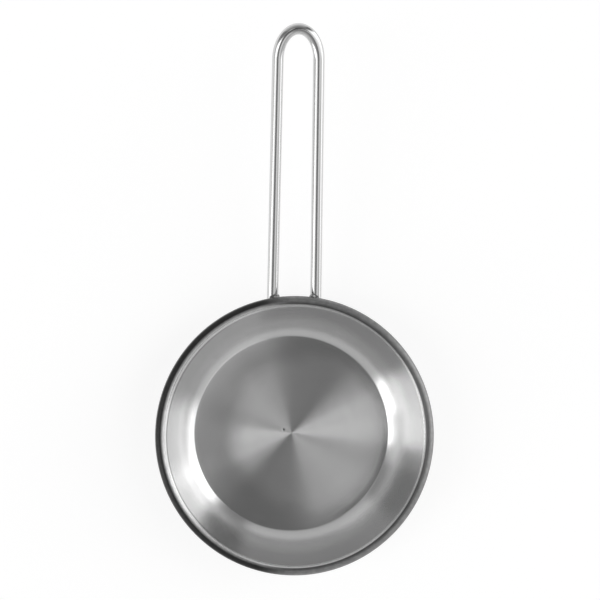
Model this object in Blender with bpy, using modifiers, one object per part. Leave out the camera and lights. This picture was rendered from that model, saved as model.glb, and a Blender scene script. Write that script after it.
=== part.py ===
"""Small round steel pan with a long handle bent from one wire. Metres, +Z up.

The origin is the centre of the pan's underside. The handle runs out along +Y and rises as it goes.
The pan is one pressed sheet: a flat floor that turns up at a tight edge, a rounded corner, a wall that
leans out, and a rim rolled outward into a small hollow bead. The wire's two legs bend down behind the
bead and lie along the outside of the wall. Each leg is welded twice: in the groove under the bead, and
under its tip.
"""

import math

import bmesh
import bpy
from mathutils import Vector

MM = 0.001

# Pan
RIM_RADIUS = 65.0 * MM  # to the outside of the bead
PAN_HEIGHT = 25.0 * MM  # from the underside to the top of the bead
SHEET = 0.8 * MM
BEAD_RADIUS = 2.3 * MM  # outside of the rolled edge, in section
WALL_ANGLE = math.radians(66.0)  # from level
CORNER_RADIUS = 18.0 * MM  # inside, between the floor's edge and the wall
EDGE_ANGLE = math.radians(28.0)  # from level, to which the floor turns up at its edge
EDGE_RADIUS = 1.2 * MM  # inside, of the floor's edge
CURL_GAP = 0.5 * MM  # from the free edge of the rolled sheet to the wall

# Handle
WIRE_RADIUS = 2.7 * MM
ROOT_HALF_SPACING = 10.1 * MM  # from the middle to each wire's centre, at the rim
LOOP_HALF_SPACING = 9.4 * MM  # the same, where the rounded end begins
LOOP_DEPTH = 14.0 * MM  # length of the rounded end, along the handle
HANDLE_REACH = 189.4 * MM  # from the pan's centre to the end of the loop, level
HANDLE_SLOPE = math.radians(13.0)
BEND_RADIUS = 7.0 * MM  # of the wire's centre line, behind the bead
TIP_RISE = 0.2 * MM  # from the foot of the straight wall up to the leg's tip

# Welds
UPPER_WELD_RADIUS = 1.8 * MM
UPPER_WELD_TURN = math.radians(38.0)  # round the wire, from its top towards the other wire
UPPER_WELD_OUT = 0.8 * MM  # from the outside of the bead out to the weld's middle
LOWER_WELD_RADIUS = 2.5 * MM

# Clearances
SEAT_GAP = 0.3 * MM  # from the leg to the wall, and round each weld
BEAD_GAP = 0.4 * MM  # from the wire to the bead that it passes under

# Fineness
PAN_STEPS = 72
EDGE_STEPS = 2
CORNER_STEPS = 5
BEAD_STEPS = 14
BEND_STEPS = 6
LOOP_STEPS = 10
STRAIGHT_STEPS = 4
WIRE_BEVEL_RESOLUTION = 6
WELD_SEGMENTS = 16
WELD_RINGS = 10
MERGE_DISTANCE = 0.001 * MM
SHARP_ANGLE = math.radians(50.0)

# Finishes: colour, roughness, metallic
STEEL_INSIDE = ((0.60, 0.60, 0.60, 1.0), 0.30, 1.0)
STEEL_WIRE = ((0.72, 0.72, 0.72, 1.0), 0.15, 1.0)
STEEL_WELD = ((0.42, 0.42, 0.42, 1.0), 0.50, 1.0)

# The sheet's section, as (radius, height), follows from the sizes above, from the bead down.
BEAD_CENTRE = Vector((RIM_RADIUS - BEAD_RADIUS, PAN_HEIGHT - BEAD_RADIUS))
WALL_UP = Vector((math.cos(WALL_ANGLE), math.sin(WALL_ANGLE)))
WALL_INWARD = Vector((-math.sin(WALL_ANGLE), math.cos(WALL_ANGLE)))
EDGE_INWARD = Vector((-math.sin(EDGE_ANGLE), math.cos(EDGE_ANGLE)))
WALL_TOP = BEAD_CENTRE + WALL_INWARD * BEAD_RADIUS
EDGE_RISE = EDGE_RADIUS * (1.0 - math.cos(EDGE_ANGLE))
CORNER_RISE = CORNER_RADIUS * (math.cos(EDGE_ANGLE) - math.cos(WALL_ANGLE))
WALL_LENGTH = (WALL_TOP.y - SHEET - EDGE_RISE - CORNER_RISE) / WALL_UP.y
CORNER_END = WALL_TOP - WALL_UP * WALL_LENGTH
CORNER_CENTRE = CORNER_END + WALL_INWARD * CORNER_RADIUS
EDGE_CENTRE = CORNER_CENTRE + EDGE_INWARD * (EDGE_RADIUS - CORNER_RADIUS)


def clear_scene():
    """Remove every object, so that the part stands alone."""
    for item in list(bpy.data.objects):
        bpy.data.objects.remove(item, do_unlink=True)


def new_collection(name):
    """Make a collection in the scene."""
    collection = bpy.data.collections.new(name)
    bpy.context.scene.collection.children.link(collection)
    return collection


def steel(name, finish):
    """Make a metal material from a colour, a roughness and a metallic value."""
    colour, roughness, metallic = finish
    material = bpy.data.materials.new(name)
    material.use_nodes = True
    shader = material.node_tree.nodes["Principled BSDF"]
    shader.inputs["Base Color"].default_value = colour
    shader.inputs["Roughness"].default_value = roughness
    shader.inputs["Metallic"].default_value = metallic
    material.diffuse_color = colour
    return material


def add_object(name, data, collection, material=None):
    """Put a mesh or a curve into a collection as a named object."""
    item = bpy.data.objects.new(name, data)
    collection.objects.link(item)
    if material is not None:
        data.materials.append(material)
    return item


def as_cutter(item):
    """Show an object as a wire frame and keep it out of the render."""
    item.hide_render = True
    item.display_type = "WIRE"
    return item


def arc(centre, radius, start, end, steps):
    """Return the points of an arc in a plane, both ends included."""
    points = []
    for i in range(steps + 1):
        angle = start + (end - start) * i / steps
        points.append(centre + Vector((math.cos(angle), math.sin(angle))) * radius)
    return points


def corner_arcs(depth):
    """Return the floor's edge and the corner up to the wall, at a depth under the sheet's inner face."""
    level = -math.pi / 2
    edge = arc(EDGE_CENTRE, EDGE_RADIUS + depth, level, level + EDGE_ANGLE, EDGE_STEPS)
    corner = arc(CORNER_CENTRE, CORNER_RADIUS + depth, level + EDGE_ANGLE, level + WALL_ANGLE, CORNER_STEPS)
    return edge + corner[1:]


def sheet_face(depth):
    """Return the section of the sheet at a depth under its inner face, from the axis to the curl's edge."""
    inward = WALL_ANGLE + math.pi / 2
    open_turn = math.acos((BEAD_RADIUS - SHEET - CURL_GAP) / BEAD_RADIUS)
    curl_end = inward + open_turn - 2.0 * math.pi
    curl = arc(BEAD_CENTRE, BEAD_RADIUS - depth, inward, curl_end, BEAD_STEPS)
    return [Vector((0.0, SHEET - depth))] + corner_arcs(depth) + curl


def outline(gap):
    """Return the section of all that the pan fills, grown by a gap, from the top of the axis down."""
    inward = WALL_ANGLE + math.pi / 2
    radius = BEAD_RADIUS + gap
    groove_turn = math.acos((BEAD_RADIUS - SHEET - gap) / radius)
    bead = arc(BEAD_CENTRE, radius, math.pi / 2, inward + groove_turn - 2.0 * math.pi, BEAD_STEPS)
    corner = corner_arcs(SHEET + gap)
    corner.reverse()
    return [Vector((0.0, PAN_HEIGHT + gap))] + bead + corner + [Vector((0.0, -gap))]


def turned(name, section, collection, material=None):
    """Turn a section about the Z axis into a round piece."""
    mesh = bpy.data.meshes.new(name)
    corners = [(point.x, 0.0, point.y) for point in section]
    edges = [(i, i + 1) for i in range(len(corners) - 1)]
    mesh.from_pydata(corners, edges, [])
    item = add_object(name, mesh, collection, material)
    screw = item.modifiers.new("turn", "SCREW")
    screw.axis = "Z"
    screw.angle = 2.0 * math.pi
    screw.steps = PAN_STEPS
    screw.render_steps = PAN_STEPS
    screw.use_merge_vertices = True
    screw.merge_threshold = MERGE_DISTANCE
    screw.use_smooth_shade = True
    return item


def pan_body(collection, material):
    """Make the pressed sheet: its inner face outward to the curl's edge, then its outer face back."""
    outer = sheet_face(SHEET)
    outer.reverse()
    return turned("pan_body", sheet_face(0.0) + outer, collection, material)


def level_distance(radius):
    """Return how far out along +Y a round of this radius is, in the upright plane of one leg."""
    return math.sqrt(radius**2 - ROOT_HALF_SPACING**2)


def leg_axis_radius(height):
    """Return the radius at which a leg's centre line lies along the wall, at a height."""
    wall_outside = WALL_TOP.x - (WALL_TOP.y - height) * WALL_UP.x / WALL_UP.y
    return wall_outside + (SHEET + SEAT_GAP + WIRE_RADIUS) / WALL_UP.y


def leg_line():
    """Return the tip of a leg and its upward direction, as (distance out, height)."""
    low = CORNER_END.y - WALL_INWARD.y * SHEET + TIP_RISE
    high = BEAD_CENTRE.y
    tip = Vector((level_distance(leg_axis_radius(low)), low))
    top = Vector((level_distance(leg_axis_radius(high)), high))
    return tip, (top - tip).normalized()


def handle_line():
    """Return the point of the wire's centre line nearest to the bead, and the handle's direction."""
    along = Vector((math.cos(HANDLE_SLOPE), math.sin(HANDLE_SLOPE)))
    downward = Vector((along.y, -along.x))
    bead = Vector((level_distance(BEAD_CENTRE.x), BEAD_CENTRE.y))
    return bead + downward * (BEAD_RADIUS + BEAD_GAP + WIRE_RADIUS), along


def crossing(start, direction, other_start, other_direction):
    """Return where two lines in a plane cross."""
    offset = other_start - start
    share = offset.cross(other_direction) / direction.cross(other_direction)
    return start + direction * share


def bend(tip, leg, under, along):
    """Return the arc that leads the wire from its leg into the handle."""
    corner = crossing(tip, leg, under, along)
    turn = leg.angle(along)
    reach = min(BEND_RADIUS * math.tan(turn / 2), (corner - tip).length)
    radius = reach / math.tan(turn / 2)
    first = corner - leg * reach
    centre = first + Vector((leg.y, -leg.x)) * radius
    start = math.atan2(first.y - centre.y, first.x - centre.x)
    return arc(centre, radius, start, start - turn, BEND_STEPS)


def half_wire():
    """Return one half of the wire's centre line, from the leg's tip to the middle of the loop's end."""
    tip, leg = leg_line()
    under, along = handle_line()
    curve = bend(tip, leg, under, along)
    points = [Vector((ROOT_HALF_SPACING, place.x, place.y)) for place in [tip] + curve]

    loop_end = (HANDLE_REACH - WIRE_RADIUS - under.x) / along.x
    loop_start = loop_end - LOOP_DEPTH
    straight_start = (curve[-1] - under).dot(along)
    for i in range(1, STRAIGHT_STEPS + 1):
        share = i / STRAIGHT_STEPS
        place = under + along * (straight_start + (loop_start - straight_start) * share)
        aside = ROOT_HALF_SPACING + (LOOP_HALF_SPACING - ROOT_HALF_SPACING) * share
        points.append(Vector((aside, place.x, place.y)))
    for i in range(1, LOOP_STEPS + 1):
        turn = math.pi / 2 * i / LOOP_STEPS
        place = under + along * (loop_start + LOOP_DEPTH * math.sin(turn))
        points.append(Vector((LOOP_HALF_SPACING * math.cos(turn), place.x, place.y)))
    return points


def wire_curve(name, points, radius):
    """Make a round wire along points, as curve data with filled ends."""
    curve = bpy.data.curves.new(name, "CURVE")
    curve.dimensions = "3D"
    curve.bevel_depth = radius
    curve.bevel_resolution = WIRE_BEVEL_RESOLUTION
    curve.use_fill_caps = True
    spline = curve.splines.new("POLY")
    spline.points.add(len(points) - 1)
    for place, point in zip(spline.points, points):
        place.co = (point.x, point.y, point.z, 1.0)
    spline.use_smooth = True
    return curve


def handle_wire(collection, material):
    """Make the handle: one wire from the left leg's tip round the loop to the right leg's tip."""
    right = half_wire()
    left = [Vector((-point.x, point.y, point.z)) for point in right]
    right.reverse()
    curve = wire_curve("handle_wire", left + right[1:], WIRE_RADIUS)
    return add_object("handle_wire", curve, collection, material)


def wire_cutter(name, side, collection):
    """Make the room that one leg needs in a weld: the leg and its bend, grown by the seat gap."""
    tip, leg = leg_line()
    under, along = handle_line()
    curve = bend(tip, leg, under, along)
    places = [tip - leg * SEAT_GAP] + curve + [curve[-1] + along * (WIRE_RADIUS + UPPER_WELD_RADIUS)]
    points = [Vector((side * ROOT_HALF_SPACING, place.x, place.y)) for place in places]
    data = wire_curve(name, points, WIRE_RADIUS + SEAT_GAP)
    guide = add_object(name + "_guide", data, collection)

    graph = bpy.context.evaluated_depsgraph_get()
    mesh = bpy.data.meshes.new_from_object(guide.evaluated_get(graph))
    shape = bmesh.new()
    shape.from_mesh(mesh)
    bmesh.ops.remove_doubles(shape, verts=shape.verts, dist=MERGE_DISTANCE)
    shape.to_mesh(mesh)
    shape.free()
    cutter = as_cutter(add_object(name, mesh, collection))
    cutter.matrix_world = guide.matrix_world
    bpy.data.objects.remove(guide, do_unlink=True)
    return cutter


def upper_weld_place(side):
    """Return the middle of the weld beside the bead: on the wire, just outside the bead."""
    under, along = handle_line()
    axis = under + along * ((level_distance(RIM_RADIUS) + UPPER_WELD_OUT - under.x) / along.x)
    upward = Vector((-along.y, along.x))
    risen = axis + upward * (WIRE_RADIUS * math.cos(UPPER_WELD_TURN))
    aside = ROOT_HALF_SPACING - WIRE_RADIUS * math.sin(UPPER_WELD_TURN)
    return Vector((side * aside, risen.x, risen.y))


def lower_weld_place(side):
    """Return the middle of the weld at a leg's tip: on the line where the leg lies against the wall."""
    tip, leg = leg_line()
    to_wall = Vector((-leg.y, leg.x))
    place = tip + to_wall * WIRE_RADIUS
    return Vector((side * ROOT_HALF_SPACING, place.x, place.y))


def weld(name, place, radius, cutters, collection, material):
    """Make a weld: a ball at a place, cut clear of the wire and of the pan."""
    mesh = bpy.data.meshes.new(name)
    shape = bmesh.new()
    bmesh.ops.create_uvsphere(shape, u_segments=WELD_SEGMENTS, v_segments=WELD_RINGS, radius=radius)
    shape.to_mesh(mesh)
    shape.free()
    mesh.shade_smooth()
    mesh.set_sharp_from_angle(angle=SHARP_ANGLE)
    item = add_object(name, mesh, collection, material)
    item.location = place
    for cutter in cutters:
        cut = item.modifiers.new("clear_of_" + cutter.name, "BOOLEAN")
        cut.operation = "DIFFERENCE"
        cut.solver = "EXACT"
        cut.object = cutter
    return item


def build():
    """Make every piece of the pan."""
    clear_scene()
    parts = new_collection("wire_handle_pan")
    cutters = new_collection("cutters")
    pan_steel = steel("pan_steel", STEEL_INSIDE)
    wire_steel = steel("wire_steel", STEEL_WIRE)

    pan_body(parts, pan_steel)
    handle_wire(parts, wire_steel)

    pan_room = as_cutter(turned("pan_room", outline(SEAT_GAP), cutters))
    for side_name, side in (("left", -1.0), ("right", 1.0)):
        wire_room = wire_cutter("wire_room_" + side_name, side, cutters)
        room = (pan_room, wire_room)
        for level, place, radius in (
            ("upper", upper_weld_place(side), UPPER_WELD_RADIUS),
            ("lower", lower_weld_place(side), LOWER_WELD_RADIUS),
        ):
            name = "weld_" + level + "_" + side_name
            weld(name, place, radius, room, parts, steel(name + "_steel", STEEL_WELD))


build()
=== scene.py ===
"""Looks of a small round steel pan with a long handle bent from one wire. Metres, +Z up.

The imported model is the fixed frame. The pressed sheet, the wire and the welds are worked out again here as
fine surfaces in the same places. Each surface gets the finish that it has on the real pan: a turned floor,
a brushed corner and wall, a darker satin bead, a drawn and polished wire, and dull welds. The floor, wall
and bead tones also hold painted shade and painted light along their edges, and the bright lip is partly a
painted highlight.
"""

import logging
import math
from dataclasses import dataclass
from enum import Enum

import bpy
import numpy as np
from mathutils import Matrix, Vector


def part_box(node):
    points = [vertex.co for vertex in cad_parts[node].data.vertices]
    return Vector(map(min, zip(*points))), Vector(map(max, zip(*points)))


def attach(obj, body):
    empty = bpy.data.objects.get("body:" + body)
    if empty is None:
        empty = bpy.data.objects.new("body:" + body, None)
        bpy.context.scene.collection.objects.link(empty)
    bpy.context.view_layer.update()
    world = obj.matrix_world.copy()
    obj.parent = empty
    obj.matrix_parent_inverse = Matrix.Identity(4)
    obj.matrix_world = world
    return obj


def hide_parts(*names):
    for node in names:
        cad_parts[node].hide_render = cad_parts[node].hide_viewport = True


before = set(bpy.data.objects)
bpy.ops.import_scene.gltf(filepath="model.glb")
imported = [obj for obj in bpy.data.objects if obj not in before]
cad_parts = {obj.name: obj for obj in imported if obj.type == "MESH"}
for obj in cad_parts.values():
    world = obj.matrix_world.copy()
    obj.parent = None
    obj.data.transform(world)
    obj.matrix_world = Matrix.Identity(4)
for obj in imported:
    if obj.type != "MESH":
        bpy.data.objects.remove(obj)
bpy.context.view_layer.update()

log = logging.getLogger("wire_handle_pan")

MM = 0.001
BODY = "root"
FULL_TURN = 2.0 * math.pi

# Sky angles are in degrees
HORIZON = 90.0
HALF_CIRCLE = 180.0

# What a node takes and gives: a number or a socket, and a socket
Socket = bpy.types.NodeSocket
Value = float | Socket


class Slot(Enum):
    """The record's material slots."""

    PAN = "pan_steel"
    WIRE = "wire_steel"
    WELD = "weld_steel"


class Side(Enum):
    """The two legs of the handle, seen from above with the handle pointing away."""

    LEFT = -1.0
    RIGHT = 1.0


# Meshes


def arc(centre: np.ndarray, radius: float, start: float, end: float, steps: int) -> np.ndarray:
    """Points of an arc: the centre plus the radius times (cos a, sin a), for a from start to end."""
    angle = np.linspace(start, end, steps + 1)
    return centre + radius * np.stack([np.cos(angle), np.sin(angle)], axis=1)


def line(start: np.ndarray, end: np.ndarray, steps: int) -> np.ndarray:
    """Points of a straight line, at equal steps from start to end, both ends included."""
    share = np.linspace(0.0, 1.0, steps + 1)[:, None]
    return start + (end - start) * share


def turns(steps: int) -> np.ndarray:
    """The angles of equal steps round a full turn, in radians."""
    return np.arange(steps) * FULL_TURN / steps


def unit(vectors: np.ndarray) -> np.ndarray:
    """Vectors of length 1 with the same directions."""
    return vectors / np.linalg.norm(vectors, axis=-1, keepdims=True)


def way_at(angle: float) -> np.ndarray:
    """The direction at an angle to level, in an upright plane."""
    return np.array([math.cos(angle), math.sin(angle)])


def left_of(way: np.ndarray) -> np.ndarray:
    """A direction turned by a right angle counterclockwise, in its plane."""
    return np.array([-way[1], way[0]])


def swept(first: np.ndarray, centre: np.ndarray, turn: float, steps: int) -> np.ndarray:
    """Points of an arc that starts at a first point and runs through a turn round a centre."""
    start = math.atan2(*(first - centre)[::-1])
    return arc(centre, np.linalg.norm(first - centre), start, start + turn, steps)


def add(name: str, data: bpy.types.ID) -> bpy.types.Object:
    """Put a new object into the scene, at the origin.

    Args:
        name: the object's name.
        data: its mesh or camera.

    Returns:
        The object.
    """
    item = bpy.data.objects.new(name, data)
    bpy.context.scene.collection.objects.link(item)
    return item


def skin(
    name: str,
    rings: np.ndarray,
    first: np.ndarray,
    last: np.ndarray,
    bands: np.ndarray | None = None,
    lengths: np.ndarray | None = None,
) -> bpy.types.Object:
    """Make a closed surface from rings of points, with a pole at each end.

    The surface is a grid: point (i, j) is place j round ring i, and the grid closes on itself in j. A fan of
    triangles joins the first and the last ring to their poles. The rings run so that (along, round) turns
    counterclockwise seen from outside.

    Args:
        name: the piece's name.
        rings: the points, rings by places by three.
        first: the pole before the first ring.
        last: the pole after the last ring.
        bands: the material number of each strip, from the first pole's fan to the last one's.
        lengths: each ring's distance along the piece, if the skin gets a UV map.

    Returns:
        The object, in the scene, at the origin.
    """
    count, around = rings.shape[:2]
    places = np.vstack([rings.reshape(-1, 3), first, last])
    first_pole = count * around
    here = np.arange(around)
    after = (here + 1) % around
    low = (np.arange(count - 1) * around)[:, None]
    high = low + around
    quads = np.stack([low + here, high + here, high + after, low + after], axis=2)
    end_row = (count - 1) * around
    start_fan = np.stack([np.full(around, first_pole), here, after], axis=1)
    end_fan = np.stack([end_row + here, np.full(around, first_pole + 1), end_row + after], axis=1)
    faces = start_fan.tolist() + quads.reshape(-1, 4).tolist() + end_fan.tolist()

    mesh = bpy.data.meshes.new(name)
    mesh.from_pydata(places.tolist(), [], faces)
    if bands is not None:
        mesh.polygons.foreach_set("material_index", np.repeat(bands, around).astype(np.int32))
    if lengths is not None:
        unwrap(mesh, lengths, around)
    mesh.shade_smooth()
    mesh.validate()
    return add(name, mesh)


def unwrap(mesh: bpy.types.Mesh, lengths: np.ndarray, around: int) -> None:
    """Give a skin its UV map: U is the distance along the piece, and V goes from 0 to 1 round it.

    Args:
        mesh: the mesh that skin() made.
        lengths: the distance along the piece of each ring.
        around: the number of points in a ring.
    """
    here = np.arange(around) / around
    after = here + 1.0 / around
    middle = here + 0.5 / around
    low = np.repeat(lengths[:-1, None], around, axis=1)
    high = np.repeat(lengths[1:, None], around, axis=1)
    here_rows = np.broadcast_to(here, low.shape)
    after_rows = np.broadcast_to(after, low.shape)
    quads = np.stack([low, here_rows, high, here_rows, high, after_rows, low, after_rows], axis=2)
    start = np.full(around, lengths[0])
    end = np.full(around, lengths[-1])
    start_fan = np.stack([start, middle, start, here, start, after], axis=1)
    end_fan = np.stack([end, here, end, middle, end, after], axis=1)
    corners = np.concatenate([start_fan.ravel(), quads.ravel(), end_fan.ravel()])
    layer = mesh.uv_layers.new(name="along_and_round")
    layer.data.foreach_set("uv", corners.astype(np.float32))


def fit(item: bpy.types.Object, slot: Slot, *nodes: str) -> bpy.types.Object:
    """Let a piece ride on the pan's body and stand for CAD nodes.

    Args:
        item: the piece.
        slot: not used.
        *nodes: the CAD nodes.

    Returns:
        The piece.
    """
    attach(item, BODY)
    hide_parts(*nodes)
    return item


def report(item: bpy.types.Object) -> None:
    """Log a piece that was built."""
    log.info("%s: %d faces", item.name, len(item.data.polygons))


# Node trees


def about(middle: float, width: float) -> tuple:
    """The two ends of a range, from its middle and its width."""
    return middle - 0.5 * width, middle + 0.5 * width


def grey_colour(tone: float) -> tuple:
    """The four numbers of a grey colour."""
    return (tone, tone, tone, 1.0)


class Graph:
    """A node tree, with short calls for the nodes that the finishes use."""

    def __init__(self, tree: bpy.types.NodeTree) -> None:
        """Keep the tree whose nodes are made."""
        self.tree = tree

    def fill(self, sockets: object, values: dict) -> None:
        """Set sockets, or link other sockets to them.

        Args:
            sockets: a node's inputs.
            values: a value or a socket for each, by name or number.
        """
        for key, value in values.items():
            if isinstance(value, Socket):
                self.tree.links.new(value, sockets[key])
            else:
                sockets[key].default_value = value

    def node(self, kind: str, inputs: dict | None = None, **settings: object) -> bpy.types.Node:
        """Add a node.

        Args:
            kind: the node's type, without the words ShaderNode.
            inputs: values or sockets by input name or number.
            **settings: the node's own properties.

        Returns:
            The node.
        """
        node = self.tree.nodes.new("ShaderNode" + kind)
        for key, value in settings.items():
            setattr(node, key, value)
        self.fill(node.inputs, inputs or {})
        return node

    def math(self, operation: str, *values: Value) -> Socket:
        """Do a sum on numbers."""
        return self.node("Math", dict(enumerate(values)), operation=operation).outputs[0]

    def product(self, first: Value, *others: Value) -> Value:
        """Multiply numbers."""
        for other in others:
            first = self.math("MULTIPLY", first, other)
        return first

    def swing(self, noise: Socket, share: float) -> Socket:
        """A number that goes from 1 less a share to 1 and that share as a noise goes from 0 to 1."""
        return self.math("MULTIPLY_ADD", noise, 2.0 * share, 1.0 - share)

    def split(self, vector: Socket) -> tuple:
        """Take a vector apart into its three numbers."""
        return tuple(self.node("SeparateXYZ", {0: vector}).outputs)

    def join(self, *numbers: Value) -> Socket:
        """Make a vector from three numbers."""
        return self.node("CombineXYZ", dict(enumerate(numbers))).outputs[0]

    def noise(self, vector: Socket, scale: Value, detail: float = 2.0) -> Socket:
        """Cloudy noise between 0 and 1, about 0.5 on average."""
        return self.node("TexNoise", {"Vector": vector, "Scale": scale, "Detail": detail}).outputs[0]

    def span(self, value: Value, ends: tuple, to_ends: tuple, eased: bool = True) -> Socket:
        """Map a number from one range to another, clamped at both ends.

        Args:
            value: the number.
            ends: the two ends of the range that it comes from.
            to_ends: the two ends of the range that it goes to.
            eased: whether the line between them starts and stops softly.

        Returns:
            The mapped number.
        """
        kind = "SMOOTHSTEP" if eased else "LINEAR"
        inputs = dict(enumerate((value, *ends, *to_ends)))
        return self.node("MapRange", inputs, interpolation_type=kind).outputs[0]

    def ramp(self, value: Value, stops: list) -> Socket:
        """Read a number off a line through stops.

        Args:
            value: where to read, from 0 to 1.
            stops: pairs of a place and a height, both from 0 to 1, in order of place.

        Returns:
            The height there.
        """
        node = self.node("ValToRGB", {0: value})
        elements = node.color_ramp.elements
        while len(elements) < len(stops):
            elements.new(1.0)
        for element, (place, height) in zip(elements, stops):
            element.position = place
            element.color = grey_colour(height)
        return node.outputs[0]

    def distance(self, place: Socket, centre: tuple = (0.0, 0.0)) -> Socket:
        """The level distance of a place from an upright line, by default from Z."""
        steps = [self.math("SUBTRACT", *pair) for pair in zip(self.split(place), centre)]
        return self.math("SQRT", self.math("ADD", *(self.math("POWER", step, 2.0) for step in steps)))

    def side(self, place: Socket, way: tuple) -> Socket:
        """How far a place is on one side of Z: the cosine of its angle round Z from a level way."""
        parts = [self.math("MULTIPLY", *pair) for pair in zip(self.split(place), way)]
        return self.math("DIVIDE", self.math("ADD", *parts), self.distance(place))

    def blend(self, share: Value, first: Value, second: Value) -> Socket:
        """Go from a first number to a second as a share goes from 0 to 1."""
        return self.node("Mix", {0: share, 2: first, 3: second}).outputs[0]

    def grey(self, tone: Value) -> Socket:
        """Make a grey colour from a number."""
        return self.node("CombineColor", {0: tone, 1: tone, 2: tone}).outputs[0]

    def place_effect(self, effect: "Effect", inputs: dict) -> bpy.types.NodeOutputs:
        """Place a shared effect, and give its outputs."""
        return self.node("Group", inputs, node_tree=effect.tree()).outputs


class Effect:
    """A shared effect: a node group that is made at its first use.

    Each effect names its inputs, with their default numbers or None for a vector, and its outputs.
    """

    name: str
    inputs: dict
    outputs: tuple

    def work(self, graph: Graph, given: object) -> dict:
        """Give the sockets of the outputs by name, from the sockets that come in."""
        raise NotImplementedError

    def tree(self) -> bpy.types.NodeTree:
        """Find the node group, or make it.

        Returns:
            The node group.
        """
        if self.name in bpy.data.node_groups:
            return bpy.data.node_groups[self.name]
        tree = bpy.data.node_groups.new(self.name, "ShaderNodeTree")
        for key, value in self.inputs.items():
            kind = "NodeSocketVector" if value is None else "NodeSocketFloat"
            socket = tree.interface.new_socket(key, in_out="INPUT", socket_type=kind)
            if value is not None:
                socket.default_value = value
        for key in self.outputs:
            tree.interface.new_socket(key, in_out="OUTPUT", socket_type="NodeSocketFloat")
        given, made = tree.nodes.new("NodeGroupInput"), tree.nodes.new("NodeGroupOutput")
        graph = Graph(tree)
        graph.fill(made.inputs, self.work(graph, given.outputs))
        return tree


class Rings(Effect):
    """Rings round the Z axis, as a lathe or a brush leaves them.

    The noise is read at (cos a, sin a) times the lumps and at (radius + height) over the width, so that it
    changes fast across the rings and slowly round them, without a seam.
    """

    # For each kind of ring, the lumps round it and its width in pitches
    kinds = {"Fine": (1.0, 1.0), "Broad": (0.7, 9.0), "Arcs": (7.0, 3.0)}
    name = "turned_rings"
    inputs = {"Position": None, "Pitch": 0.3 * MM}
    outputs = tuple(kinds)
    least_radius = 0.05 * MM

    def work(self, graph: Graph, given: object) -> dict:
        """Read the noise once for each kind of ring.

        Args:
            graph: the group's graph.
            given: the sockets that come in.

        Returns:
            The noise by kind.
        """
        x, y, z = graph.split(given["Position"])
        radius = graph.distance(given["Position"])
        safe = graph.math("MAXIMUM", radius, self.least_radius)
        way = [graph.math("DIVIDE", part, safe) for part in (x, y)]
        across = graph.math("DIVIDE", graph.math("ADD", radius, z), given["Pitch"])
        made = {}
        for kind, (lumps, width) in self.kinds.items():
            turned = [graph.product(part, lumps) for part in way]
            made[kind] = graph.noise(graph.join(*turned, graph.math("DIVIDE", across, width)), 1.0)
        return made


class Clouds(Effect):
    """Faint clouds of wiping, with no direction."""

    name = "handling_marks"
    inputs = {"Position": None, "Size": 20.0 * MM}
    outputs = ("Cloud",)

    def work(self, graph: Graph, given: object) -> dict:
        """Read the noise at the place over the clouds' size."""
        return {"Cloud": graph.noise(given["Position"], graph.math("DIVIDE", 1.0, given["Size"]))}


class DrawingLines(Effect):
    """Fine lines along a wire, as the drawing die leaves them.

    The noise is read at (cos V, sin V) times the count and at U over the length.
    """

    name = "drawing_lines"
    inputs = {"UV": None, "Count": 9.0, "Length": 20.0 * MM}
    outputs = ("Lines",)
    detail = 3.0

    def work(self, graph: Graph, given: object) -> dict:
        """Read the noise along and round the wire.

        Args:
            graph: the group's graph.
            given: the sockets that come in.

        Returns:
            The lines.
        """
        along, turn, _ = graph.split(given["UV"])
        angle = graph.product(turn, FULL_TURN)
        turned = [graph.product(graph.math(wave, angle), given["Count"]) for wave in ("COSINE", "SINE")]
        place = graph.join(*turned, graph.math("DIVIDE", along, given["Length"]))
        return {"Lines": graph.noise(place, 1.0, self.detail)}


class MaterialGraph(Graph):
    """The node tree of a new material, with its Principled BSDF."""

    def __init__(self, name: str) -> None:
        """Make the material.

        Args:
            name: the material's name.
        """
        self.material = bpy.data.materials.new(name)
        self.material.use_nodes = True
        super().__init__(self.material.node_tree)
        self.shader = self.tree.nodes["Principled BSDF"]

    def shade(self, values: dict) -> bpy.types.Material:
        """Fill the shader's inputs by name, and give the material."""
        self.fill(self.shader.inputs, values)
        return self.material


class MetalGraph(MaterialGraph):
    """A metal's node tree, with the place on the pan and the clouds of wiping there."""

    def __init__(self, name: str, cloud_size: float = 20.0 * MM) -> None:
        """Make the material.

        Args:
            name: the material's name.
            cloud_size: the size of the clouds.
        """
        super().__init__(name)
        self.coordinates = self.node("TexCoord").outputs
        self.place = self.coordinates["Object"]
        self.cloud = self.place_effect(Clouds(), {"Position": self.place, "Size": cloud_size})["Cloud"]

    def metal(self, tone: Value, roughness: Value, height: Socket, depth: float = 1.0) -> bpy.types.Material:
        """Make the shader bare metal.

        Args:
            tone: its grey tone.
            roughness: its roughness.
            height: the height of its marks.
            depth: the metres that a height of 1 stands for.

        Returns:
            The material.
        """
        bump = self.node("Bump", {"Height": height, "Strength": 1.0, "Distance": depth})
        self.shade({"Base Color": self.grey(tone), "Roughness": roughness, "Metallic": 1.0})
        return self.shade({"Normal": bump.outputs["Normal"]})


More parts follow.
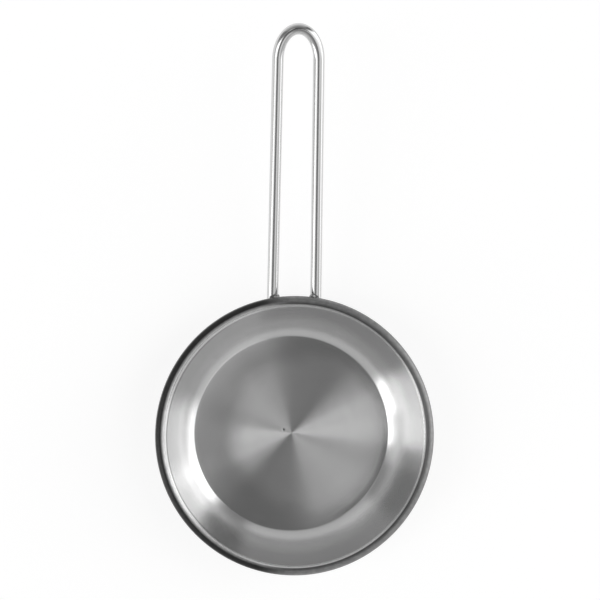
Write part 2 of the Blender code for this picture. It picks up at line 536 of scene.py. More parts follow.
class TurnedGraph(MetalGraph):
    """The node tree of a metal turned round an upright axis, with its rings and the distance from Z."""

    def __init__(self, name: str, centre: tuple, pitch: float) -> None:
        """Make the material.

        Args:
            name: the material's name.
            centre: where the axis of the turning stands.
            pitch: the width of the finest rings.
        """
        super().__init__(name)
        self.radius = self.distance(self.place)
        shift = {0: self.place, 1: (*centre, 0.0)}
        self.offset = self.node("VectorMath", shift, operation="SUBTRACT").outputs[0]
        self.rings = self.place_effect(Rings(), {"Position": self.offset, "Pitch": pitch})

    def outward(self) -> Socket:
        """The level direction away from the axis of the turning."""
        x, y, _ = self.split(self.offset)
        return self.node("VectorMath", {0: self.join(x, y, 0.0)}, operation="NORMALIZE").outputs[0]

    def towards(self, way: tuple, spread: tuple, to_ends: tuple) -> Socket:
        """A number that goes over from one end to another as a place comes round Z to a level way."""
        return self.span(self.side(self.place, way), spread, to_ends)


# Finishes


@dataclass(frozen=True)
class TurnedSteel:
    """Steel that was turned or brushed round the pan's axis, so that its gloss spreads across the rings."""

    name: str
    tone: float
    roughness: float
    anisotropy: float
    pitch: float
    depth: float
    ring_tone: float = 0.025
    ring_roughness: float = 0.015
    cloud_tone: float = 0.03
    turning_centre: tuple = (0.0, 0.0)

    def material(self) -> bpy.types.Material:
        """Make the material.

        Returns:
            The material.
        """
        graph = TurnedGraph(self.name, self.turning_centre, self.pitch)
        graph.shade({"Anisotropic": self.anisotropy, "Tangent": graph.outward()})
        tone, roughness = self.tone_socket(graph), self.roughness_socket(graph)
        return graph.metal(tone, roughness, self.height_socket(graph))

    def tone_socket(self, graph: TurnedGraph) -> Socket:
        """The steel's tone, changed by the broad rings and the clouds."""
        broad = graph.swing(graph.rings["Broad"], self.ring_tone)
        return graph.product(broad, graph.swing(graph.cloud, self.cloud_tone), self.tone)

    def roughness_socket(self, graph: TurnedGraph) -> Socket:
        """The steel's roughness, changed by the arcs, and half as much by the clouds.

        Args:
            graph: the finish's node tree.

        Returns:
            The roughness, which is the finish's own on average.
        """
        swing = self.ring_roughness
        arcs = graph.math("MULTIPLY_ADD", graph.rings["Arcs"], 2.0 * swing, self.roughness - 1.5 * swing)
        return graph.math("MULTIPLY_ADD", graph.cloud, swing, arcs)

    def height_socket(self, graph: TurnedGraph) -> Socket:
        """The height of the turning marks, in metres."""
        return graph.product(graph.rings["Fine"], self.depth)


@dataclass(frozen=True)
class FloorSteel(TurnedSteel):
    """The turned floor: coarser inside a round area, dished at its edge, and nicked by its middle."""

    area_centre: tuple = (8.5 * MM, 1.0 * MM)
    area_radius: float = 35.0 * MM
    area_soft: float = 12.0 * MM
    outer_roughness: float = 0.185
    dish_range: tuple = (36.5 * MM, 46.0 * MM)
    dish_rise: float = 0.22 * MM
    nick: tuple = (-3.7 * MM, 1.9 * MM)
    nick_range: tuple = (0.27 * MM, 0.9 * MM)
    nick_tone: float = 0.3
    nick_depth: float = 0.15 * MM
    # Painted shade: a dark band along the floor's edge, on its +X, -Y side only.
    edge_shade_range: tuple = (42.6 * MM, 44.8 * MM)
    edge_shade_side: tuple = (0.87, -0.5)
    edge_shade_spread: tuple = (0.8, 0.96)
    edge_shade_share: float = 0.28

    def nick_socket(self, graph: TurnedGraph) -> Socket:
        """How far into the nick a place is: 1 in its middle, 0 outside it."""
        return graph.span(graph.distance(graph.place, self.nick), self.nick_range, (1.0, 0.0))

    def tone_socket(self, graph: TurnedGraph) -> Socket:
        """The steel's tone, darker in the nick, and with painted shade along the floor's edge on one side.

        Args:
            graph: the finish's node tree.

        Returns:
            The tone.
        """
        shade = graph.math("MULTIPLY_ADD", self.nick_socket(graph), self.nick_tone - 1.0, 1.0)
        # Painted shade along the floor's edge, on one side.
        edge = graph.span(graph.radius, self.edge_shade_range, (0.0, self.edge_shade_share))
        side = graph.towards(self.edge_shade_side, self.edge_shade_spread, (0.0, 1.0))
        edge_shade = graph.math("SUBTRACT", 1.0, graph.product(edge, side))
        return graph.product(super().tone_socket(graph), shade, edge_shade)

    def roughness_socket(self, graph: TurnedGraph) -> Socket:
        """The steel's roughness, lower outside the round area, whose border the clouds make uneven.

        Args:
            graph: the finish's node tree.

        Returns:
            The roughness.
        """
        uneven = graph.math("MULTIPLY_ADD", graph.cloud, self.area_soft, -0.5 * self.area_soft)
        distance = graph.math("ADD", graph.distance(graph.place, self.area_centre), uneven)
        change = (0.0, self.outer_roughness - self.roughness)
        outer = graph.span(distance, about(self.area_radius, self.area_soft), change)
        return graph.math("ADD", super().roughness_socket(graph), outer)

    def height_socket(self, graph: TurnedGraph) -> Socket:
        """The marks' height, with the floor's rise towards its edge and the nick's depth.

        Args:
            graph: the finish's node tree.

        Returns:
            The height, in metres. The rise grows with the square of the way through its range.
        """
        share = graph.span(graph.radius, self.dish_range, (0.0, 1.0), eased=False)
        rise = graph.product(share, share, self.dish_rise)
        hole = graph.product(self.nick_socket(graph), -self.nick_depth)
        return graph.math("ADD", graph.math("ADD", super().height_socket(graph), rise), hole)


@dataclass(frozen=True)
class WallSteel(TurnedSteel):
    """The brushed corner and wall: duller towards the rim, with a polished lip, partly a painted highlight,
    wider on one side.
    """

    dull_range: tuple = (49.0 * MM, 58.0 * MM)
    dull_share: float = 0.27
    # The lip is polished. Its bright tone and its lean to one side are partly a painted highlight.
    lip_start: float = 60.2 * MM
    lip_side: tuple = (-0.64, 0.77)
    lip_lean: float = 0.6 * MM
    lip_soft: float = 0.5 * MM
    lip_tone: float = 0.98
    # Painted shade: a thin dark line just inside the lip, on the -X side.
    crease_shade_side: tuple = (-1.0, 0.0)
    crease_shade_spread: tuple = (0.3, 0.8)
    crease_shade_width: float = 0.5 * MM
    crease_shade_share: float = 0.7

    def tone_socket(self, graph: TurnedGraph) -> Socket:
        """The steel's tone: lower towards the rim, painted shade in a thin line inside the lip on one side,
        and the lip's own at the end.

        Args:
            graph: the finish's node tree.

        Returns:
            The tone.
        """
        shade = graph.span(graph.radius, self.dull_range, (1.0, 1.0 - self.dull_share))
        lean = graph.towards(self.lip_side, (0.0, 1.0), (0.0, self.lip_lean))
        shifted = graph.math("ADD", graph.radius, lean)
        lip = graph.span(shifted, (self.lip_start, self.lip_start + self.lip_soft), (0.0, 1.0))
        # Painted shade in a thin line inside the lip, deepest on the -X side.
        start, end = self.lip_start - self.crease_shade_width, self.lip_start
        middle = 0.5 * (start + end)
        depth = graph.towards(self.crease_shade_side, self.crease_shade_spread, (0.0, self.crease_shade_share))
        enter = graph.span(shifted, (start, middle), (0.0, depth))
        crease_shade = graph.span(shifted, (middle, end), (enter, 0.0))
        shade = graph.product(shade, graph.math("SUBTRACT", 1.0, crease_shade))
        return graph.blend(lip, graph.product(super().tone_socket(graph), shade), self.lip_tone)


@dataclass(frozen=True)
class BeadSteel(TurnedSteel):
    """The rolled edge: a bright lip, polished with the wall, and a dull bead with painted shade on its -X
    side.
    """

    # Painted shade on the bead's -X side and next to the lip on its +X side, and painted light by the lip on
    # -X.
    painted_shade_tone: float = 0.055
    light_side: tuple = (1.0, 0.0)
    light_range: tuple = (-0.28, 0.0)
    inner_shade_width: float = 1.7 * MM
    shoulder_painted_light_tone: float = 0.6
    shoulder_width: float = 1.5 * MM
    flank_tone: float = 0.22
    flank_range: tuple = (23.4 * MM, 24.3 * MM)
    # The lip's bright tone and the width that changes round the pan are partly a painted highlight.
    lip_end: float = 61.2 * MM
    lip_side: tuple = (-0.6, -0.8)
    lip_lean: float = 0.18 * MM
    lip_soft: float = 0.9 * MM
    lip_tone: float = 0.90
    lip_roughness: float = 0.22
    thin_side: tuple = (-0.92, -0.39)
    thin_spread: tuple = (0.7, 0.95)
    thin_by: float = 0.4 * MM
    mottle_size: float = 2.0 * MM
    mottle_detail: float = 3.0
    mottle_tone: float = 0.3
    pit_depth: float = 0.02 * MM

    def lip_socket(self, graph: TurnedGraph) -> Socket:
        """How much a place belongs to the polished lip, partly a painted highlight: wider on one side,
        thinner on another.

        Args:
            graph: the finish's node tree.

        Returns:
            The share, 1 on the lip and 0 on the bead.
        """
        side = graph.side(graph.place, self.lip_side)
        shifted = graph.math("MULTIPLY_ADD", side, -self.lip_lean, graph.radius)
        thinner = graph.towards(self.thin_side, self.thin_spread, (0.0, self.thin_by))
        shifted = graph.math("ADD", shifted, thinner)
        return graph.span(shifted, about(self.lip_end, self.lip_soft), (1.0, 0.0))

    def mottle_socket(self, graph: TurnedGraph) -> Socket:
        """Blotches of the bead, between 0 and 1."""
        return graph.noise(graph.place, 1.0 / self.mottle_size, self.mottle_detail)

    def tone_socket(self, graph: TurnedGraph) -> Socket:
        """The bead's tone, with painted shade and painted light by its side, blotched, and the lip's tone
        inside it.

        Outside the lip the light side starts in painted shade and gets lighter, and the dark side starts in
        painted light.

        Args:
            graph: the finish's node tree.

        Returns:
            The tone.
        """
        # Painted shade and painted light: outwards from the lip, +X goes from shade to the bead's tone, -X
        # from light to shade.
        start = self.lip_end
        inner_shade, to_light = (start, start + self.inner_shade_width), (self.painted_shade_tone, self.tone)
        shoulder, to_dark = (start, start + self.shoulder_width), (self.shoulder_painted_light_tone, self.painted_shade_tone)
        light = graph.span(graph.radius, inner_shade, to_light, eased=False)
        dark = graph.span(graph.radius, shoulder, to_dark, eased=False)
        top = graph.towards(self.light_side, self.light_range, (dark, light))
        flank = graph.span(graph.split(graph.place)[2], self.flank_range, (1.0, 0.0))
        tone = graph.blend(flank, top, self.flank_tone)
        tone = graph.product(tone, graph.swing(self.mottle_socket(graph), self.mottle_tone))
        return graph.blend(self.lip_socket(graph), tone, self.lip_tone)

    def roughness_socket(self, graph: TurnedGraph) -> Socket:
        """The bead's roughness, and the lip's inside it."""
        return graph.blend(self.lip_socket(graph), super().roughness_socket(graph), self.lip_roughness)

    def height_socket(self, graph: TurnedGraph) -> Socket:
        """Shallow dents all over the bead, none on the lip."""
        dents = graph.product(self.mottle_socket(graph), self.pit_depth)
        return graph.blend(self.lip_socket(graph), dents, 0.5 * self.pit_depth)


@dataclass(frozen=True)
class DrawnSteel:
    """Drawn and polished wire, with faint lines along it."""

    name: str
    tone: float
    roughness: float
    depth: float
    line_tone: float = 0.04
    cloud_size: float = 12.0 * MM
    cloud_roughness: float = 0.05
    edge_tint: float = 0.9

    def material(self) -> bpy.types.Material:
        """Make the material. Its lines follow the piece's own UV map.

        Returns:
            The material.
        """
        graph = MetalGraph(self.name, self.cloud_size)
        graph.shade({"Specular Tint": grey_colour(self.edge_tint)})
        lines = graph.place_effect(DrawingLines(), {"UV": graph.coordinates["UV"]})["Lines"]
        tone = graph.product(graph.swing(lines, self.line_tone), self.tone)
        rough = graph.math("MULTIPLY_ADD", graph.cloud, self.cloud_roughness, self.roughness)
        return graph.metal(tone, rough, lines, self.depth)


@dataclass(frozen=True)
class WeldSteel:
    """Weld metal: dull, pitted, and darker where its scale was left."""

    name: str
    tone: float
    roughness: float
    depth: float
    cloud_size: float = 1.2 * MM
    cloud_roughness: float = 0.2
    scale_range: tuple = (0.35, 0.65)
    scale_share: float = 0.65
    bare_share: float = 1.2

    def material(self) -> bpy.types.Material:
        """Make the material. The clouds are its pits and its scale.

        Returns:
            The material.
        """
        graph = MetalGraph(self.name, self.cloud_size)
        tones = (self.scale_share * self.tone, self.bare_share * self.tone)
        tone = graph.span(graph.cloud, self.scale_range, tones)
        rough = graph.math("MULTIPLY_ADD", graph.cloud, self.cloud_roughness, self.roughness)
        return graph.metal(tone, rough, graph.cloud, self.depth)


# The pressed sheet


class Band(Enum):
    """The finishes on the sheet, in the order of its material slots."""

    FLOOR = 0
    WALL = 1
    BEAD = 2
    OUTSIDE = 3


@dataclass
class PressedPan:
    """The sheet: flat floor, tight edge, rounded corner, leaning wall and an outward rolled bead."""

    rim_radius: float
    height: float
    sheet: float = 0.8 * MM
    bead_radius: float = 2.3 * MM
    wall_angle: float = math.radians(66.0)
    corner_radius: float = 18.0 * MM
    edge_angle: float = math.radians(28.0)
    edge_radius: float = 1.2 * MM
    curl_gap: float = 0.5 * MM
    pole_radius: float = 0.4 * MM
    least_step: float = 0.001 * MM
    round_steps: int = 384
    floor_steps: int = 36
    under_floor_steps: int = 4
    edge_steps: int = 8
    corner_steps: int = 24
    wall_steps: int = 16
    curl_steps: int = 56
    free_edge_steps: int = 8
    floor_finish: FloorSteel = FloorSteel(
        "turned_floor", 0.84, 0.262, 1.0, 0.30 * MM, 0.0005 * MM, turning_centre=(0.1 * MM, 0.2 * MM)
    )
    wall_finish: WallSteel = WallSteel("brushed_wall", 0.84, 0.24, 0.9, 0.35 * MM, 0.0001 * MM)
    bead_finish: BeadSteel = BeadSteel("satin_bead", 0.30, 0.48, 0.2, 0.40 * MM, 0.0)
    outside_finish: TurnedSteel = TurnedSteel("brushed_outside", 0.50, 0.30, 0.7, 0.35 * MM, 0.001 * MM)

    @property
    def bead_centre(self) -> np.ndarray:
        """The centre of the bead's section."""
        return np.array([self.rim_radius - self.bead_radius, self.height - self.bead_radius])

    @property
    def wall_up(self) -> np.ndarray:
        """The direction up the wall in the section."""
        return way_at(self.wall_angle)

    @property
    def wall_top(self) -> np.ndarray:
        """The top of the straight wall's inner face."""
        return self.bead_centre + left_of(self.wall_up) * self.bead_radius

    @property
    def corner_end(self) -> np.ndarray:
        """The foot of the straight wall's inner face.

        Returns:
            The foot, as (radius, height).
        """
        edge_rise = self.edge_radius * (1.0 - math.cos(self.edge_angle))
        corner_rise = self.corner_radius * (math.cos(self.edge_angle) - math.cos(self.wall_angle))
        length = (self.wall_top[1] - self.sheet - edge_rise - corner_rise) / self.wall_up[1]
        return self.wall_top - self.wall_up * length

    @property
    def corner_centre(self) -> np.ndarray:
        """The centre of the corner's arc."""
        return self.corner_end + left_of(self.wall_up) * self.corner_radius

    @property
    def edge_centre(self) -> np.ndarray:
        """The centre of the arc at the floor's edge."""
        inward = left_of(way_at(self.edge_angle))
        return self.corner_centre + inward * (self.edge_radius - self.corner_radius)

    def wall_radius(self, height: float | np.ndarray, depth: float) -> float | np.ndarray:
        """The straight wall's radius at a height, at a depth under its inner face."""
        inner = self.wall_top[0] - (self.wall_top[1] - height) * self.wall_up[0] / self.wall_up[1]
        return inner + depth / self.wall_up[1]

    def stretches(self, depth: float, floor_steps: int) -> list:
        """The section at a depth under the inner face, as floor, corner with wall, and curl.

        Args:
            depth: 0 for the inner face, the sheet's thickness for the outer face.
            floor_steps: the number of steps across the flat floor.

        Returns:
            Three arrays of (radius, height), from the axis out to the curl's free edge.
        """
        level = -math.pi / 2
        edge_turn, wall_turn = level + self.edge_angle, level + self.wall_angle
        edge_start = self.edge_centre + np.array([0.0, -(self.edge_radius + depth)])
        floor = line(np.array([self.pole_radius, edge_start[1]]), edge_start, floor_steps)
        edge = arc(self.edge_centre, self.edge_radius + depth, level, edge_turn, self.edge_steps)
        corner = arc(self.corner_centre, self.corner_radius + depth, edge_turn, wall_turn, self.corner_steps)
        inward = self.wall_angle + math.pi / 2
        open_turn = math.acos((self.bead_radius - self.sheet - self.curl_gap) / self.bead_radius)
        curl_end = inward + open_turn - FULL_TURN
        curl = arc(self.bead_centre, self.bead_radius - depth, inward, curl_end, self.curl_steps)
        wall = line(corner[-1], curl[0], self.wall_steps)
        return [floor, np.vstack([edge, corner, wall]), curl]

    def section(self) -> tuple:
        """The whole section with the number of the finish of each of its strips.

        Returns:
            The points, as (radius, height), and the bands, one more than there are points.
        """
        floor, wall, curl = self.stretches(0.0, self.floor_steps)
        under_floor, under_wall, under_curl = self.stretches(self.sheet, self.under_floor_steps)
        middle = (curl[-1] + under_curl[-1]) / 2.0
        parts = [
            (floor, Band.FLOOR),
            (wall, Band.WALL),
            (curl, Band.BEAD),
            (swept(curl[-1], middle, -math.pi, self.free_edge_steps), Band.BEAD),
            (under_curl[::-1], Band.BEAD),
            (under_wall[::-1], Band.OUTSIDE),
            (under_floor[::-1], Band.OUTSIDE),
        ]
        points = np.vstack([part for part, _ in parts])
        bands = np.concatenate([np.full(len(part), band.value) for part, band in parts])
        step = np.linalg.norm(np.diff(points, axis=0), axis=1)
        kept = np.concatenate([[True], step > self.least_step])
        bands = bands[kept]
        return points[kept], np.concatenate([bands, bands[-1:]])

    def build(self) -> bpy.types.Object:
        """Turn the section about Z: point (i, j) is (r cos a, r sin a, z) for angle j and section point i.

        Returns:
            The dressed sheet.
        """
        points, bands = self.section()
        angle = turns(self.round_steps)
        radius, height = points[:, :1], points[:, 1:]
        rings = np.stack([radius * np.cos(angle), radius * np.sin(angle), height + 0.0 * angle], axis=2)
        poles = (np.array([0.0, 0.0, points[0, 1]]), np.array([0.0, 0.0, points[-1, 1]]))
        item = skin("pressed_pan", rings, *poles, bands=bands)
        for finish in (self.floor_finish, self.wall_finish, self.bead_finish, self.outside_finish):
            item.data.materials.append(finish.material())
        return fit(item, Slot.PAN, "pan_body")


# The handle


@dataclass
class WireHandle:
    """One round wire: two legs behind the bead, two straights, and a rounded end.

    The centre line is that of a wire with the seat radius, and the surface is drawn a little inside it.
    """

    pan: PressedPan
    reach: float
    radius: float = 2.63 * MM
    seat_radius: float = 2.70 * MM
    root_half_spacing: float = 10.1 * MM
    loop_half_spacing: float = 9.4 * MM
    loop_depth: float = 14.0 * MM
    slope: float = math.radians(13.0)
    bend_radius: float = 7.0 * MM
    tip_rise: float = 0.2 * MM
    seat_gap: float = 0.3 * MM
    bead_gap: float = 0.4 * MM
    tip_chamfer: float = 0.45 * MM
    sharp_angle: float = math.radians(35.0)
    round_steps: int = 48
    leg_steps: int = 6
    bend_steps: int = 20
    straight_steps: int = 80
    loop_steps: int = 40
    finish: DrawnSteel = DrawnSteel("polished_wire", 0.66, 0.11, 0.0006 * MM)

    @property
    def along(self) -> np.ndarray:
        """The handle's direction in its upright plane, as (out, up)."""
        return way_at(self.slope)

    def level_distance(self, radius: float) -> float:
        """How far out along +Y a round of this radius is, in the upright plane of one leg."""
        return math.sqrt(radius**2 - self.root_half_spacing**2)

    def leg_line(self) -> tuple:
        """The line of a leg in its upright plane.

        Returns:
            The leg's tip and its upward direction, both as (out, up).
        """
        low = self.pan.corner_end[1] - math.cos(self.pan.wall_angle) * self.pan.sheet + self.tip_rise
        tip = self.on_wall(low)
        return tip, unit(self.on_wall(self.pan.bead_centre[1]) - tip)

    def on_wall(self, height: float) -> np.ndarray:
        """The place of a leg's centre line against the wall's outside, at a height."""
        axis = self.pan.wall_radius(height, self.pan.sheet + self.seat_gap + self.seat_radius)
        return np.array([self.level_distance(axis), height])

    def under_bead(self) -> np.ndarray:
        """The point of the straight wire's centre line that is nearest to the bead, as (out, up)."""
        bead = np.array([self.level_distance(self.pan.bead_centre[0]), self.pan.bead_centre[1]])
        return bead - left_of(self.along) * (self.pan.bead_radius + self.bead_gap + self.seat_radius)

    def bend(self) -> np.ndarray:
        """The arc that leads a leg into the straight wire.

        Returns:
            Its points, as (out, up).
        """
        tip, leg = self.leg_line()
        turn = math.acos(float(leg @ self.along))
        offset = self.under_bead() - tip
        corner = tip + leg * ((left_of(offset) @ self.along) / (left_of(leg) @ self.along))
        reach = min(self.bend_radius * math.tan(turn / 2), float(np.linalg.norm(corner - tip)))
        first = corner - leg * reach
        centre = first - left_of(leg) * reach / math.tan(turn / 2)
        return swept(first, centre, -turn, self.bend_steps)

    def half(self) -> tuple:
        """The right half of the centre line, from the leg's tip to the middle of the rounded end.

        The rounded end is a quarter of an ellipse: (half spacing times cos a, depth times sin a).

        Returns:
            The points, and the direction at each that lies in the upright plane and square to the wire.
        """
        tip, _ = self.leg_line()
        curve = self.bend()
        under = self.under_bead()
        upright = np.vstack([line(tip, curve[0], self.leg_steps)[:-1], curve])
        leg_points = np.column_stack([np.full(len(upright), self.root_half_spacing), upright])

        loop_end = (self.reach - self.radius - under[0]) / self.along[0]
        loop_start = loop_end - self.loop_depth
        straight_start = float((curve[-1] - under) @ self.along)
        share = np.linspace(0.0, 1.0, self.straight_steps + 1)[1:]
        places = under + self.along * (straight_start + (loop_start - straight_start) * share)[:, None]
        aside = self.root_half_spacing + (self.loop_half_spacing - self.root_half_spacing) * share
        straight = np.column_stack([aside, places])

        turn = np.linspace(0.0, math.pi / 2, self.loop_steps + 1)[1:]
        places = under + self.along * (loop_start + self.loop_depth * np.sin(turn))[:, None]
        loop = np.column_stack([self.loop_half_spacing * np.cos(turn), places])

        points = np.vstack([leg_points, straight, loop])
        tangent = unit(np.gradient(leg_points[:, 1:], axis=0))
        leg_up = np.column_stack([np.zeros(len(tangent)), -tangent[:, 1], tangent[:, 0]])
        flat_up = np.tile([0.0, -self.along[1], self.along[0]], (len(straight) + len(loop), 1))
        return points, np.vstack([leg_up, flat_up])

    def centre_line(self) -> tuple:
        """The whole centre line, from the left leg's tip round to the right leg's.

        Returns:
            The points, and the up direction at each.
        """
        points, up = self.half()
        mirror = np.array([-1.0, 1.0, 1.0])
        return np.vstack([points * mirror, points[-2::-1]]), np.vstack([up * mirror, up[-2::-1]])

    def build(self) -> bpy.types.Object:
        """Carry a circle along the centre line, with a chamfered end at each tip.

        Ring i is the centre plus the radius times (cos a times side + sin a times up). The side is the
        direction along the wire crossed with up.

        Returns:
            The dressed wire.
        """
        points, up = self.centre_line()
        along = unit(np.gradient(points, axis=0))
        up = unit(up - along * np.sum(up * along, axis=1)[:, None])
        radii = np.full(len(points), self.radius)

        inset = self.tip_chamfer
        first, last = points[0] + along[0] * inset, points[-1] - along[-1] * inset
        points = np.vstack([points[0], first, points[1:-1], last, points[-1]])
        radii = np.concatenate([[self.radius - inset], radii, [self.radius - inset]])
        along = np.vstack([along[:1], along, along[-1:]])
        up = np.vstack([up[:1], up, up[-1:]])
        side = np.cross(along, up)

        angle = turns(self.round_steps)[None, :, None]
        spread = np.cos(angle) * side[:, None, :] + np.sin(angle) * up[:, None, :]
        rings = points[:, None, :] + spread * radii[:, None, None]
        lengths = np.concatenate([[0.0], np.cumsum(np.linalg.norm(np.diff(points, axis=0), axis=1))])
        item = skin("wire_handle", rings, points[0], points[-1], lengths=lengths)
        item.data.set_sharp_from_angle(angle=self.sharp_angle)
        item.data.materials.append(self.finish.material())
        return fit(item, Slot.WIRE, "handle_wire")


# The welds


@dataclass
class Welds:
    """Four puddles of weld metal: beside each wire behind the bead, and under each leg's tip."""

    handle: WireHandle
    upper_radius: float = 1.6 * MM
    upper_turn: float = math.radians(38.0)
    upper_out: float = 0.8 * MM
    lower_radius: float = 2.5 * MM
    round_steps: int = 64
    rows: int = 40
    ripple: float = 0.05
    finish: WeldSteel = WeldSteel("weld_metal", 0.42, 0.45, 0.05 * MM)

    def upper_place(self, side: Side) -> np.ndarray:
        """The middle of the weld beside the bead: on the wire, just outside the bead.

        Args:
            side: the leg.

        Returns:
            The place, as (x, y, z).
        """
        wire = self.handle
        under = wire.under_bead()
        out = wire.level_distance(wire.pan.rim_radius) + self.upper_out
        axis = under + wire.along * ((out - under[0]) / wire.along[0])
        risen = axis + left_of(wire.along) * (wire.radius * math.cos(self.upper_turn))
        aside = wire.root_half_spacing - wire.radius * math.sin(self.upper_turn)
        return np.array([side.value * aside, *risen])

    def lower_place(self, side: Side) -> np.ndarray:
        """The middle of the weld at a leg's tip: on the line where the leg lies against the wall.

        Args:
            side: the leg.

        Returns:
            The place, as (x, y, z).
        """
        tip, leg = self.handle.leg_line()
        place = tip + left_of(leg) * self.handle.radius
        return np.array([side.value * self.handle.root_half_spacing, *place])

    def puddle(self, name: str, place: np.ndarray, radius: float) -> bpy.types.Object:
        """Make one weld: a ball whose radius swells and falls in ripples.

        The radius at polar angle p and azimuth a is the given one times 1 + ripple times (wave - 1), and
        the wave is (sin(5 a + 3 p) + sin(9 p)) / 2.

        Args:
            name: the piece's name.
            place: the ball's centre.
            radius: its greatest radius.

        Returns:
            The object.
        """
        polar = (np.arange(1, self.rows) * math.pi / self.rows)[:, None]
        turn = turns(self.round_steps)[None, :]
        wave = (np.sin(5.0 * turn + 3.0 * polar) + np.sin(9.0 * polar)) / 2.0
        reach = radius * (1.0 + self.ripple * (wave - 1.0))
        flat = np.sin(polar) + 0.0 * turn
        rings = np.stack([flat * np.cos(turn), flat * np.sin(turn), -np.cos(polar) + 0.0 * turn], axis=2)
        rings = self.outside_wall(place + rings * reach[:, :, None])
        pole = np.array([0.0, 0.0, radius * (1.0 - self.ripple)])
        return skin(name, rings[:, ::-1], *self.outside_wall(np.stack([place - pole, place + pole])))

    def outside_wall(self, points: np.ndarray) -> np.ndarray:
        """Move each point that lies too far in straight out, to half a sheet under the wall's outer face.

        Args:
            points: places, with three numbers on the last axis.

        Returns:
            The places, all outside the middle of the sheet.
        """
        middle = self.handle.pan.wall_radius(points[..., 2], 0.5 * self.handle.pan.sheet)
        radius = np.hypot(points[..., 0], points[..., 1])
        factor = np.maximum(radius, middle) / radius
        return points * np.stack([factor, factor, np.ones_like(factor)], axis=-1)

    def build(self) -> list:
        """Make the four welds.

        Returns:
            The dressed welds.
        """
        material = self.finish.material()
        made = []
        for side in Side:
            places = {
                "upper": (self.upper_place(side), self.upper_radius),
                "lower": (self.lower_place(side), self.lower_radius),
            }
            for level, (place, radius) in places.items():
                node = "_".join(["weld", level, side.name.lower()])
                item = self.puddle(node + "_puddle", place, radius)
                item.data.materials.append(material)
                made.append(fit(item, Slot.WELD, node))
        return made


# The studio


@dataclass(frozen=True)
class SkyWindow:
    """A window of the sky, far away, with soft sides and a soft upper edge.

    The compass angle runs from +X towards +Y, and the zenith angle from straight up to the horizon. The
    soft widths are those of the first and the last side, and the edge is a range of zenith angles.
    """

    middle: float
    half_width: float
    soft: tuple
    edge: tuple

    def share(self, graph: Graph, compass: Socket, zenith: Socket) -> Socket:
        """How much a direction lies in the window.

        Args:
            graph: the world's graph.
            compass: the direction's compass angle.
            zenith: its zenith angle.

        Returns:
            The share: 1 inside, eased to 0 at both sides and at the upper edge.
        """
        ahead = graph.math("ADD", compass, 3.0 * HALF_CIRCLE - self.middle)
        aside = graph.math("FLOORED_MODULO", ahead, 2.0 * HALF_CIRCLE)
        aside = graph.math("SUBTRACT", aside, HALF_CIRCLE)
        enter = graph.span(aside, about(-self.half_width, self.soft[0]), (0.0, 1.0))
        leave = graph.span(aside, about(self.half_width, self.soft[1]), (1.0, 0.0))
        return graph.product(enter, leave, graph.span(zenith, self.edge, (0.0, 1.0)))


@dataclass(frozen=True)
class SoftLight(SkyWindow):
    """A broad soft light. It goes over from one level to another between two far zenith angles."""

    levels: tuple
    far: tuple

    def glow(self, graph: Graph, compass: Socket, zenith: Socket) -> Socket:
        """How bright the light is in a direction."""
        level = graph.span(zenith, self.far, self.levels, eased=False)
        return graph.product(self.share(graph, compass, zenith), level)


@dataclass(frozen=True)
class DarkCard(SkyWindow):
    """A dark card beside a light, which takes a part of the room's level away."""

    depth: float

    def shade(self, graph: Graph, compass: Socket, zenith: Socket) -> Socket:
        """The part of the room's level that is left in a direction."""
        return graph.math("MULTIPLY_ADD", self.share(graph, compass, zenith), -self.depth, 1.0)


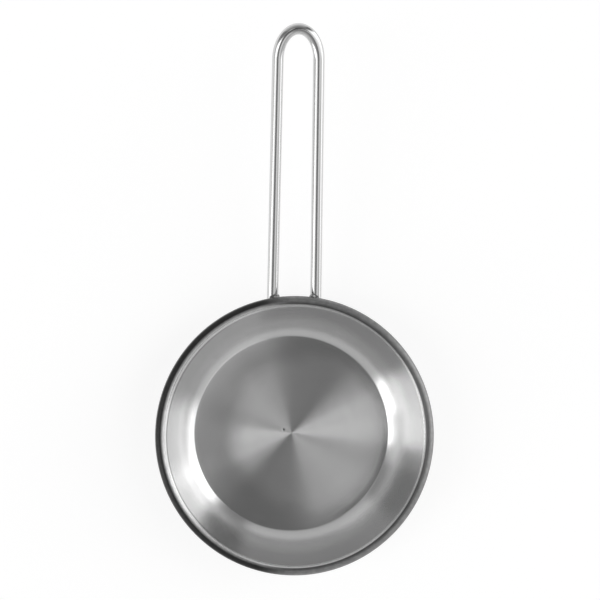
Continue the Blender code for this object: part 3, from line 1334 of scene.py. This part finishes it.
@dataclass
class Studio:
    """A pale floor, a soft studio all round, and the camera."""

    floor_half: float = 8.0
    paper_tone: float = 0.30
    paper_fill: float = 0.80
    camera_place: tuple = (-92.5 * MM, 64.0 * MM, 1227.4 * MM)
    camera_target: tuple = (2.15 * MM, 63.07 * MM, 25.0 * MM)
    camera_range: tuple = (0.01, 50.0)
    lens: float = 155.95
    sensor: float = 36.0
    # The pale room's level by zenith angle
    room: tuple = (
        (0.0, 0.02), (8.0, 0.11), (17.0, 0.19), (39.0, 0.30), (54.0, 0.43), (72.0, 0.64), (HORIZON, 0.64)
    )
    lights: tuple = (
        SoftLight(0.0, 18.0, soft=(14.0, 9.0), edge=(16.0, 26.0), levels=(0.92, 1.15), far=(62.0, 78.0)),
        SoftLight(24.0, 10.5, soft=(16.0, 7.0), edge=(18.0, 30.0), levels=(1.05, 1.8), far=(56.0, 72.0)),
        SoftLight(187.0, 10.0, soft=(6.0, 8.0), edge=(20.5, 35.5), levels=(2.8, 0.0), far=(43.0, 69.0)),
        SoftLight(206.0, 10.0, soft=(6.0, 8.0), edge=(17.0, 27.0), levels=(1.0, 2.3), far=(58.0, 74.0)),
        SoftLight(138.0, 20.0, soft=(30.0, 15.0), edge=(9.0, 15.0), levels=(0.75, 0.0), far=(15.0, 27.0)),
        SoftLight(316.0, 25.0, soft=(5.0, 15.0), edge=(8.0, 17.0), levels=(0.62, 0.0), far=(38.0, 54.0)),
    )
    cards: tuple = (
        DarkCard(48.0, 10.0, soft=(9.0, 9.0), edge=(30.0, 45.0), depth=0.6),
        DarkCard(152.0, 13.0, soft=(9.0, 6.0), edge=(30.0, 45.0), depth=0.5),
    )

    def floor(self) -> None:
        """Make the paper floor. Its glow shows to the camera and in the metal, and its shadow stays."""
        half = self.floor_half
        corners = [(-half, -half, 0.0), (half, -half, 0.0), (half, half, 0.0), (-half, half, 0.0)]
        mesh = bpy.data.meshes.new("paper_floor")
        mesh.from_pydata(corners, [], [(0, 1, 2, 3)])
        graph = MaterialGraph("paper")
        paper = {"Base Color": grey_colour(self.paper_tone), "Roughness": 1.0, "Specular IOR Level": 0.0}
        graph.shade(paper)
        rays = graph.node("LightPath").outputs
        seen = graph.math("MAXIMUM", rays["Is Camera Ray"], rays["Is Glossy Ray"])
        seen = graph.math("MAXIMUM", seen, rays["Is Transmission Ray"])
        strength = graph.product(seen, self.paper_fill)
        graph.shade({"Emission Color": grey_colour(1.0), "Emission Strength": strength})
        mesh.materials.append(graph.material)
        item = add("paper_floor", mesh)

    def room_level(self, graph: Graph, zenith: Socket) -> Socket:
        """Read the pale room's level off its table. A ramp's places run from 0 to 1, and so do its heights.

        Args:
            graph: the world's graph.
            zenith: the direction's zenith angle.

        Returns:
            The level.
        """
        top = max(level for _, level in self.room)
        stops = [(angle / HORIZON, level / top) for angle, level in self.room]
        return graph.product(graph.ramp(graph.math("DIVIDE", zenith, HORIZON), stops), top)

    def world(self) -> None:
        """Make the studio's light: a pale room with dark cards, and broad soft lights in it."""
        world = bpy.data.worlds.new("soft_studio")
        world.use_nodes = True
        bpy.context.scene.world = world
        graph = Graph(world.node_tree)
        x, y, z = graph.split(graph.node("TexCoord").outputs["Generated"])
        zenith = graph.math("DEGREES", graph.math("ARCCOSINE", z))
        compass = graph.math("DEGREES", graph.math("ARCTAN2", y, x))
        level = self.room_level(graph, zenith)
        for card in self.cards:
            level = graph.product(level, card.shade(graph, compass, zenith))
        for light in self.lights:
            level = graph.math("ADD", level, light.glow(graph, compass, zenith))
        graph.fill(graph.tree.nodes["Background"].inputs, {"Color": graph.grey(level)})

    def camera(self) -> None:
        """Make the camera: nearly straight above, with the handle pointing up in the picture."""
        data = bpy.data.cameras.new("camera")
        data.lens = self.lens
        data.sensor_width = self.sensor
        data.clip_start, data.clip_end = self.camera_range
        item = add("camera", data)
        place, target = Vector(self.camera_place), Vector(self.camera_target)
        back = (place - target).normalized()
        right = Vector((0.0, 1.0, 0.0)).cross(back).normalized()
        turn = Matrix((right, back.cross(right), back)).transposed().to_4x4()
        item.matrix_world = Matrix.Translation(place) @ turn
        bpy.context.scene.camera = item

    def build(self) -> None:
        """Make the floor, the light and the camera."""
        self.floor()
        self.world()
        self.camera()
        bpy.context.scene.view_settings.view_transform = "Standard"


def main() -> None:
    """Build every piece in order and log each one."""
    logging.basicConfig(level=logging.INFO, format="%(message)s")
    _, pan_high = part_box("pan_body")
    _, wire_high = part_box("handle_wire")
    Studio().build()
    log.info("studio ready")
    pan = PressedPan(rim_radius=pan_high.x, height=pan_high.z)
    report(pan.build())
    handle = WireHandle(pan=pan, reach=wire_high.y)
    report(handle.build())
    for weld in Welds(handle).build():
        report(weld)


if __name__ == "__main__":
    main()
